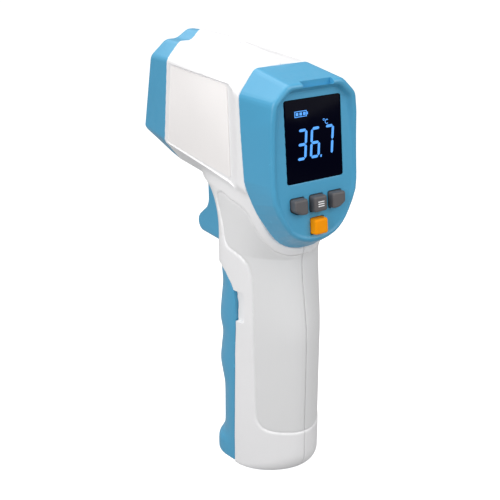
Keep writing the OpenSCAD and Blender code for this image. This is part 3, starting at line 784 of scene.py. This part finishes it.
# Side view of the trigger, from its pin
TRIGGER_SIDE = (arc(0, 0, 4.2, 200, 20, 10) + [(6.7, -6)] + arc(13.4, -15.5, 7, 180, 225, 6)
                + arc(10.4, -27.8, 4.5, 55, -75, 10)
                + [(11, -32.2), (-14, -32.2), (-19, -28), (-15, -22), (-8, -12)])
TRIGGER_EDGE = 2.6
SPRING_WELL_R = 5.5
SPRING_WELL_HALF_W = 3.6


def trigger(x, y, z):
    """Blue trigger with a hollow curve in front, rounded edges, and a well for its spring."""
    side = outline(y - PIVOT_Y, z - PIVOT_Z, TRIGGER_SIDE)
    d = smooth_max(side, np.abs(x) - TRIGGER_HALF_W, TRIGGER_EDGE)
    d = np.maximum(d, TRIGGER_BORE_R - np.hypot(y - PIVOT_Y, z - PIVOT_Z))
    well = np.maximum(rod(y, z, PIVOT_Y, PIVOT_Z, SPRING_WELL_R), np.abs(x) - SPRING_WELL_HALF_W)
    return np.maximum(d, -well)


# ---------- battery door ----------

# How far the door's front stands back from the handle's outline, at heights above the base: grooves for the
# fingers with ridges between them, and a lip at the bottom
DOOR_PROFILE = curve([(-2, -0.7), (6.6, -0.8), (9.8, 0.4), (13.5, 1.65), (22, 1.85), (32, 1.8), (37, 1.1),
                      (43, 0.3), (49, 0.7), (55.6, 1.2), (62.2, 0.35), (69.5, 0.8), (77, 1.4), (84, 0.95)])
DISH = 0.6  # how much deeper the grooves are along the middle
DISH_HALF_W = 16
LIP_TOP = 9
DOOR_FOOT_EDGE = 2.4
DOOR_THICKENING = 1.9  # extra wall behind the grooves
DOOR_INNER_FRONT = 5.4
DOOR_TOP_WALL = 4
EAR_IN = 12.6  # the ears of the door's hinge lie between these distances from the middle
EAR_OUT = 15.6
LUG_IN = 9.2  # from here to the ears, room is cut for the case's lugs
LUG_SWING_R = 4


def front_share(y):
    """0 on the sides of the handle and 1 on its front."""
    return ease((y - GRIP_Y - 3) / 12)


def finger_depth(x, y, z):
    """Depth of the grooves: nothing at the sides, and deepest along the middle of the front."""
    heights, depths = np.array(DOOR_PROFILE).T
    middle = 1 + DISH * clamp01(1 - np.abs(x) / DISH_HALF_W) * (z > LIP_TOP)
    return np.interp(z, heights, depths) * middle * front_share(y)


def door(x, y, z):
    """Blue battery door with finger grooves and ears around its hinge pin."""
    outer = smooth_max(stalk(x, y, z) + finger_depth(x, y, z), -z, DOOR_FOOT_EDGE)
    zone = outline(y, z, DOOR_ZONE) + GAP
    d = smooth_max(outer, zone, 0.7)
    inner = stalk(x, y, z, WALL) + DOOR_THICKENING * front_share(y)
    inner = np.maximum(inner, y - (GRIP_Y + GRIP_HALF_D - DOOR_INNER_FRONT))
    inner = np.maximum(inner, z - (DOOR_TOP_Z - DOOR_TOP_WALL))
    d = np.maximum(d, -inner)
    ear = np.maximum(slab(y, HINGE_Y, HINGE_Y + 6), slab(z, 1, HINGE_Z + EYE_R))
    ear = np.minimum(rod(y, z, HINGE_Y, HINGE_Z, EYE_R), ear)
    d = np.minimum(d, np.maximum(ear, slab(np.abs(x), EAR_IN, EAR_OUT)))
    heel = np.maximum(np.maximum(y - HINGE_Y, z - HINGE_Z), SWING_R - np.hypot(y - HINGE_Y, z - HINGE_Z))
    d = np.maximum(d, -heel)
    d = np.maximum(d, -np.maximum(rod(y, z, HINGE_Y, HINGE_Z, LUG_SWING_R), slab(np.abs(x), LUG_IN, EAR_IN)))
    return np.maximum(d, -np.maximum(rod(y, z, HINGE_Y, HINGE_Z, PIN_BORE_R), np.abs(x) - EAR_OUT))


# ---------- keys ----------

KEY_OUT = 2.8  # how far a key stands out of the face
KEY_DRAFT = 0.045
STEM_R = 1.2


def key(kx, kv):
    """A key cap with drafted sides, soft edges, a flange behind the face and a stem."""
    def distance(x, y, z):
        w, v = on_face(y, z)
        d = key_section(x - kx, v - kv, kx, KEY_SIDE / 2 + KEY_DRAFT * np.minimum(w, 0))
        d = smooth_max(d, -KEY_OUT - w, KEY_CORNER)
        d = np.maximum(d, w - 2.2)
        flange = np.maximum(np.abs(x - kx) - KEY_SIDE / 2 - 0.6, np.abs(v - kv) - KEY_SIDE / 2 + 0.8)
        d = np.minimum(d, np.maximum(flange, slab(w, 2.15, 2.95)))
        stem = np.maximum(np.hypot(x - kx, v - kv) - STEM_R, slab(w, 2.9, 5.2))
        return np.minimum(d, stem)
    return distance


# ---------- materials ----------

EDGE_PALE_FROM = 0.56  # pointiness at which an edge starts to pale, and at which it is palest
EDGE_PALE_TO = 0.7
EDGE_PALE_MOST = 0.4
GRAIN_HEIGHT = 0.05


def add(nodes, kind, values=None, **settings):
    """A new shader node with its settings, and values for its inputs."""
    node = nodes.new("ShaderNode" + kind)
    for key, value in settings.items():
        setattr(node, key, value)
    for key, value in (values or {}).items():
        node.inputs[key].default_value = value
    return node


def join(node, output, other, socket):
    """Joins an output of one shader node to an input of another."""
    node.id_data.links.new(node.outputs[output], other.inputs[socket])


def material(name, colour, rough, grain=0.03, grain_size=0.35, bump=0.12, spread=0.05, shine=0.5, metal=0.0):
    """Moulded plastic or metal: the colour drifts, the roughness varies and a fine grain lifts the surface.
    Sizes are in millimetres. Returns the material and its nodes."""
    made = bpy.data.materials.new(name)
    made.use_nodes = True
    nodes = made.node_tree.nodes
    skin_node = nodes["Principled BSDF"]
    skin_node.inputs["Metallic"].default_value = metal
    skin_node.inputs["Specular IOR Level"].default_value = shine
    place_node = add(nodes, "TexCoord")

    def noise(size, detail):
        node = add(nodes, "TexNoise", {"Scale": 1 / (size * MM), "Detail": detail})
        join(place_node, "Object", node, "Vector")
        return node

    drift = noise(22, 3)
    fine = noise(grain_size, 2)
    scuff = noise(3.5, 5)
    dark, light = [[min(1, c * k) for c in colour] + [1] for k in (1 - grain, 1 + grain)]
    tone = add(nodes, "Mix", {"A": dark, "B": light}, name="tone", data_type="RGBA")
    join(drift, "Fac", tone, "Factor")
    # Sharp convex edges are mixed towards white, more where the pointiness is higher.
    pale_edges = add(nodes, "Mix", {"B": (1, 1, 1, 1)}, name="pale_edges", data_type="RGBA", blend_type="SOFT_LIGHT")
    edge = add(nodes, "NewGeometry")
    edge_paling = add(nodes, "MapRange", {"From Min": EDGE_PALE_FROM, "From Max": EDGE_PALE_TO, "To Max": EDGE_PALE_MOST})
    join(edge, "Pointiness", edge_paling, "Value")
    join(edge_paling, "Result", pale_edges, "Factor")
    join(tone, "Result", pale_edges, "A")
    join(pale_edges, "Result", skin_node, "Base Color")
    limits = {"To Min": max(0.03, rough - spread), "To Max": rough + spread}
    level = add(nodes, "MapRange", {"From Min": 0.3, "From Max": 0.7, **limits}, name="level")
    join(scuff, "Fac", level, "Value")
    join(level, "Result", skin_node, "Roughness")
    relief = add(nodes, "Bump", {"Strength": bump, "Distance": GRAIN_HEIGHT * MM}, name="relief")
    join(fine, "Fac", relief, "Height")
    join(relief, "Normal", skin_node, "Normal")
    return made, nodes


def plain(*args, **kwargs):
    """A material on its own, for surfaces that need nothing more."""
    return material(*args, **kwargs)[0]


def case_material():
    """White shells: glossy borders, and a greyer, rougher texture on the sunk panel."""
    made, nodes = material("white_case", (0.88, 0.875, 0.885), 0.33, bump=0.05)
    panel = add(nodes, "Attribute", attribute_name="panel")
    shade = add(nodes, "Mix", {"B": (0.77, 0.77, 0.775, 1)}, data_type="RGBA")
    join(panel, "Fac", shade, "Factor")
    join(nodes["tone"], "Result", shade, "A")
    join(shade, "Result", nodes["pale_edges"], "A")
    matt = add(nodes, "Math", {1: 0.2}, operation="MULTIPLY_ADD")
    join(panel, "Fac", matt, 0)
    join(nodes["level"], "Result", matt, 2)
    join(matt, "Value", nodes["Principled BSDF"], "Roughness")
    grip = add(nodes, "Math", {1: 0.3, 2: 0.05}, operation="MULTIPLY_ADD")
    join(panel, "Fac", grip, 0)
    join(grip, "Value", nodes["relief"], "Strength")
    return made


def glow_material(name, colour, strength):
    """Lit display segments with slightly uneven light."""
    made = bpy.data.materials.new(name)
    made.use_nodes = True
    nodes = made.node_tree.nodes
    skin_node = nodes["Principled BSDF"]
    skin_node.inputs["Base Color"].default_value = (*[c * 0.3 for c in colour], 1)
    skin_node.inputs["Roughness"].default_value = 0.3
    skin_node.inputs["Emission Color"].default_value = (*colour, 1)
    spot = add(nodes, "TexCoord")
    cloud = add(nodes, "TexNoise", {"Scale": 1 / (4 * MM)})
    join(spot, "Object", cloud, "Vector")
    amount = add(nodes, "MapRange", {"To Min": strength * 0.8, "To Max": strength * 1.2})
    join(cloud, "Fac", amount, "Value")
    join(amount, "Result", skin_node, "Emission Strength")
    return made


WHITE = case_material()
BLUE = plain("blue_case", (0.068, 0.355, 0.585), 0.34, bump=0.06, shine=0.6)
GREY_KEY = plain("grey_rubber", (0.105, 0.10, 0.105), 0.5, bump=0.2)
ORANGE_KEY = plain("orange_rubber", (1.0, 0.33, 0.0), 0.5, bump=0.12, shine=0.12)
GLASS = plain("display_black", (0.0006, 0.0008, 0.006), 0.12, bump=0.02, spread=0.03, shine=0.03)
LABEL_SKIN = plain("label_film", (0.97, 0.94, 0.93), 0.5, bump=0.12)
BLACK = plain("black_plastic", (0.018, 0.018, 0.02), 0.45, bump=0.15)
STEEL = plain("zinc_steel", (0.62, 0.62, 0.6), 0.28, bump=0.1, metal=1.0)
SPRING = plain("spring_steel", (0.55, 0.54, 0.52), 0.22, bump=0.05, metal=1.0)
BOARD = plain("green_board", (0.02, 0.16, 0.07), 0.35, bump=0.1, grain=0.15)
LENS = plain("coated_lens", (0.30, 0.22, 0.33), 0.08, bump=0.01, shine=0.9, metal=0.6)
CELL = plain("cell_wrap", (0.03, 0.08, 0.25), 0.3, bump=0.08)
TRAY = plain("tray_grey", (0.55, 0.55, 0.57), 0.45, bump=0.12)
DIFFUSER = plain("diffuser_white", (0.85, 0.87, 0.9), 0.4, bump=0.05)
LCD = plain("display_glass", (0.04, 0.06, 0.09), 0.1, bump=0.02)
WIRE = plain("wire_sleeve", (0.35, 0.02, 0.02), 0.5, bump=0.1)
DIGIT = glow_material("digit_glow", (0.09, 0.36, 0.95), 1.0)
MARK = plain("white_print", (0.85, 0.85, 0.86), 0.5, bump=0.05)


# ---------- pieces ----------

# Reach of the meshed space to the side and up
HALF = HEAD_HALF_W + 0.6
TOP_Z = corners("nose_cap")[1][2] + 0.5

# Mesh sizes, finer where the forms are smaller
CASE_STEP = 0.5
BLUE_STEP = 0.42
FINE_STEP = 0.36
KEY_STEP = 0.17


def build_case():
    """The two white shells."""
    for side, node in ((-1, "left_shell"), (1, "right_shell")):
        left, right = (-HALF, 0) if side < 0 else (0, HALF)
        lo, hi = (left, -22, 0), (right, NOSE_JOINT_Y + 4, TOP_Z)
        mesh = moulding(node, half_case(side), lo, hi, CASE_STEP)
        p = vertex_places(mesh)
        paint(mesh, "panel", ease(0.5 - (outline(p[:, 1], p[:, 2], PANEL) + 0.1) / 0.7))
        place(node + "_moulding", mesh, WHITE, "case", [node])


def build_blue_parts():
    """Bezel, nose cap, trigger and battery door."""
    mesh = moulding("bezel", bezel, (-HALF, -27, FACE_Z - 45), (HALF, 2, FACE_Z + 25), FINE_STEP)
    place("rear_bezel_moulding", mesh, BLUE, "case", ["rear_bezel"])
    lo, hi = (-HALF, NOSE_JOINT_Y - 5, FACE_Z - 30), (HALF, NOSE_FRONT_Y + 8, TOP_Z)
    mesh = moulding("nose", nose, lo, hi, BLUE_STEP)
    place("nose_cap_moulding", mesh, BLUE, "case", ["nose_cap"])
    lo, hi = corners("trigger")
    mesh = moulding("trigger", trigger, lo - 0.5, hi + 0.5, FINE_STEP)
    place("trigger_moulding", mesh, BLUE, "trigger", ["trigger"])
    lo, hi = corners("battery_door")
    mesh = moulding("door", door, lo - 0.5, hi + 0.5, BLUE_STEP)
    place("battery_door_moulding", mesh, BLUE, "battery_door", ["battery_door"])


def box(u0, v0, u1, v1):
    """Outline of a rectangle."""
    return [(u0, v0), (u1, v0), (u1, v1), (u0, v1)]


def build_keys():
    """Three grey keys, the orange key and the pictogram on the middle one."""
    names = ["key_left", "key_middle", "key_right", "power_key"]
    for name, (kx, kv) in zip(names, key_places()):
        lo, hi = corners(name)
        mesh = moulding(name, key(kx, kv), lo - 0.3, hi + 0.3, KEY_STEP)
        orange = name == "power_key"
        finish = ORANGE_KEY if orange else GREY_KEY
        place(name + "_cap", mesh, finish, name, [name])
    bars = [box(-1.3, KEY_V + v - 0.17, 1.3, KEY_V + v + 0.17) for v in (-0.8, 0, 0.8)]
    mesh = plate("key_bars", bars, lambda u, v, side: from_face(u, -2.84 + 0.06 * side, v))
    place("key_middle_print", mesh, MARK, "key_middle")


# Middle of each segment, as shares of a digit's width and half height, and 1 if it stands upright
SEGMENTS = {"a": (0, 1, 0), "b": (0.5, 0.5, 1), "c": (0.5, -0.5, 1), "d": (0, -1, 0), "e": (-0.5, -0.5, 1),
            "f": (-0.5, 0.5, 1), "g": (0, 0, 0)}
DIGITS = {"3": "abgcd", "6": "afgedc", "7": "abc"}
DIGIT_V = -1.2
DIGIT_W = 3.25
DIGIT_H = 9.8
PEN = 0.95
SEGMENT_GAP = 0.25
LEAN = 0.1
WINDOW_R = 0.9


def digit(shape, cu):
    """Outlines of a seven-segment digit with its middle at cu."""
    made = []
    for name in DIGITS[shape]:
        su, sv, upright = SEGMENTS[name]
        length = (DIGIT_H / 2 if upright else DIGIT_W) - SEGMENT_GAP
        half = length / 2
        tip = PEN / 2
        bar = [(-half, 0), (-half + tip, tip), (half - tip, tip),
               (half, 0), (half - tip, -tip), (-half + tip, -tip)]
        if upright:
            bar = [(q, p) for p, q in bar]
        rise = sv * DIGIT_H / 2
        made.append([(cu + su * DIGIT_W + u + LEAN * (rise + v), DIGIT_V + rise + v) for u, v in bar])
    return made


def ring_outline(cu, cv, r, pen, a0, a1):
    """A bent bar: the outline of part of a ring."""
    return arc(cu, cv, r, a0, a1, 10) + arc(cu, cv, r - pen, a1, a0, 10)


def gauge(u, v, w, h):
    """A battery gauge: a thin frame, its button and three bars."""
    pen = 0.26
    rim = [box(u, v, u + w, v + pen), box(u, v + h - pen, u + w, v + h), box(u - pen, v, u, v + h),
           box(u + w, v, u + w + pen, v + h), box(u + w + pen + 0.08, v + 0.6, u + w + 0.75, v + h - 0.6)]
    pitch = w / 3
    for i in range(3):
        rim.append(box(u + i * pitch + 0.3, v + 0.55, u + (i + 1) * pitch - 0.2, v + h - 0.55))
    return rim


def show(name, outlines):
    """Lit shapes just in front of the display window."""
    mesh = plate(name, outlines, lambda a, b, side: from_face(a, -0.035 + 0.03 * side, b))
    place("display_" + name, mesh, DIGIT, "case")


def build_display():
    """Black window with rounded corners, lit digits, a degree mark and a battery gauge."""
    u, v = WINDOW_W / 2 - WINDOW_R, WINDOW_H / 2 - WINDOW_R
    shape = []
    for i, (su, sv) in enumerate(((1, 1), (-1, 1), (-1, -1), (1, -1))):
        shape += arc(su * u, sv * v, WINDOW_R, 90 * i, 90 * i + 90, 5)
    mesh = plate("window", [shape], lambda a, b, side: from_face(a, WINDOW_T * side, b), 0.18)
    place("display_window_pane", mesh, GLASS, "case", ["display_window"])
    lit = []
    for shape, cu in (("3", -5.2), ("6", 0.5), ("7", 6.3)):
        lit += digit(shape, cu)
    lit.append([(2.4, -6.6), (3.0, -6.6), (3.1, -5.8), (2.5, -5.8)])
    show("digits", lit)
    small = [ring_outline(4.55, 6.15, 0.42, 0.2, 0, 340), ring_outline(5.8, 5.35, 0.85, 0.26, 50, 310)]
    show("marks", small + gauge(-7.5, 8.3, 4.6, 2.1))


def build_labels():
    """Blank label plates in the recesses on the head's sides."""
    for side, node in ((-1, "label_left"), (1, "label_right")):
        mesh = plate(node, [soften(LABEL, 1.4, 5)], lambda u, v, k: (side * (LABEL_X + 0.34 * k), u, v), 0.1)
        place(node + "_plate", mesh, LABEL_SKIN, "case", [node])


def dress_inner_parts():
    """Better materials on the CAD parts that keep their shape."""
    finishes = {
        LCD: ["lcd_module"], DIFFUSER: ["backlight"], BOARD: ["main_board", "sensor_board"],
        BLACK: ["board_chips", "key_switches", "buzzer", "trigger_switch", "sensor_tube", "sensor_cable"],
        STEEL: ["board_screws", "trigger_pin", "sensor_can", "door_pin", "contact_plates", "shell_screws"],
        SPRING: ["trigger_spring", "battery_springs", "switch_lever"],
        LENS: ["sensor_lens"], TRAY: ["battery_tray"], CELL: ["battery_left", "battery_right"],
        WIRE: ["battery_wires"],
    }
    for finish, names in finishes.items():
        for name in names:
            piece = frame["nodes"][name]
            for slot in piece.material_slots:
                slot.material = finish
            piece.data.set_sharp_from_angle(angle=math.radians(35))


build_case()
build_blue_parts()
build_keys()
build_display()
build_labels()
dress_inner_parts()


# ---------- stage ----------

FLOOR_Z = -18  # far enough below the base for the battery door to swing open

# Place, size and power of each lamp
LAMPS = {"key": ((-505, -135, 370), 420, 1.9), "top": ((-60, 30, 600), 460, 1.1),
         "back": ((-60, 340, 520), 460, 0.9), "fill": ((260, -470, 430), 500, 1.75)}
LAMP_AIM = (0, 10, 110)

# Direction the camera looks in, its distance from the place it looks at, and its lens
CAMERA_AZIMUTH = 33.42
CAMERA_ELEVATION = 21.98
CAMERA_DISTANCE = 353
CAMERA_AIM = (-13.2, 0, FACE_Z - 45)
LENS_LENGTH = 68.46


def floor_material():
    """Pale paint that the camera sees as bright as the surroundings, so that no horizon shows."""
    made, nodes = material("floor_paint", (0.4, 0.4, 0.4), 0.8, bump=0.02)
    path = add(nodes, "LightPath")
    lift = add(nodes, "Math", {1: 0.9}, operation="MULTIPLY")
    join(path, "Is Camera Ray", lift, 0)
    nodes["Principled BSDF"].inputs["Emission Color"].default_value = (1, 1, 1, 1)
    join(lift, "Value", nodes["Principled BSDF"], "Emission Strength")
    return made


def build_stage():
    """Pale floor, white surroundings and soft lights."""
    scene = bpy.context.scene
    scene.view_settings.view_transform = "Standard"
    bm = bmesh.new()
    bmesh.ops.create_grid(bm, x_segments=1, y_segments=1, size=3)
    mesh = bpy.data.meshes.new("floor")
    bm.to_mesh(mesh)
    bm.free()
    floor = bpy.data.objects.new("floor", mesh)
    floor.location.z = FLOOR_Z * MM
    scene.collection.objects.link(floor)
    mesh.materials.append(floor_material())

    world = bpy.data.worlds.new("studio")
    scene.world = world
    world.use_nodes = True
    nodes = world.node_tree.nodes
    sky = nodes["Background"]
    sky.inputs["Strength"].default_value = 0.37
    seen = add(nodes, "Background", {"Strength": 1.0})
    for shade in (sky, seen):
        shade.inputs["Color"].default_value = (1, 1, 1, 1)
    pick = add(nodes, "MixShader")
    path = add(nodes, "LightPath")
    join(path, "Is Camera Ray", pick, "Fac")
    join(sky, "Background", pick, 1)
    join(seen, "Background", pick, 2)
    join(pick, "Shader", nodes["World Output"], "Surface")

    aim = Vector(LAMP_AIM) * MM
    for name, (spot, size, power) in LAMPS.items():
        data = bpy.data.lights.new(name, "AREA")
        data.size = size * MM
        data.energy = power
        lamp = bpy.data.objects.new(name, data)
        lamp.location = Vector(spot) * MM
        lamp.rotation_mode = "QUATERNION"
        lamp.rotation_quaternion = (aim - lamp.location).to_track_quat("-Z", "Y")
        scene.collection.objects.link(lamp)


def build_camera():
    """Camera behind, to the left of and above the thermometer, as a user holding it out would look."""
    azimuth, elevation = math.radians(CAMERA_AZIMUTH), math.radians(CAMERA_ELEVATION)
    ahead = Vector((math.sin(azimuth) * math.cos(elevation), math.cos(azimuth) * math.cos(elevation),
                    -math.sin(elevation)))
    data = bpy.data.cameras.new("camera")
    data.sensor_width = 36
    data.lens = LENS_LENGTH
    camera = bpy.data.objects.new("camera", data)
    camera.location = (Vector(CAMERA_AIM) - ahead * CAMERA_DISTANCE) * MM
    camera.rotation_mode = "QUATERNION"
    camera.rotation_quaternion = ahead.to_track_quat("-Z", "Y")
    bpy.context.scene.collection.objects.link(camera)
    bpy.context.scene.camera = camera


build_stage()
build_camera()
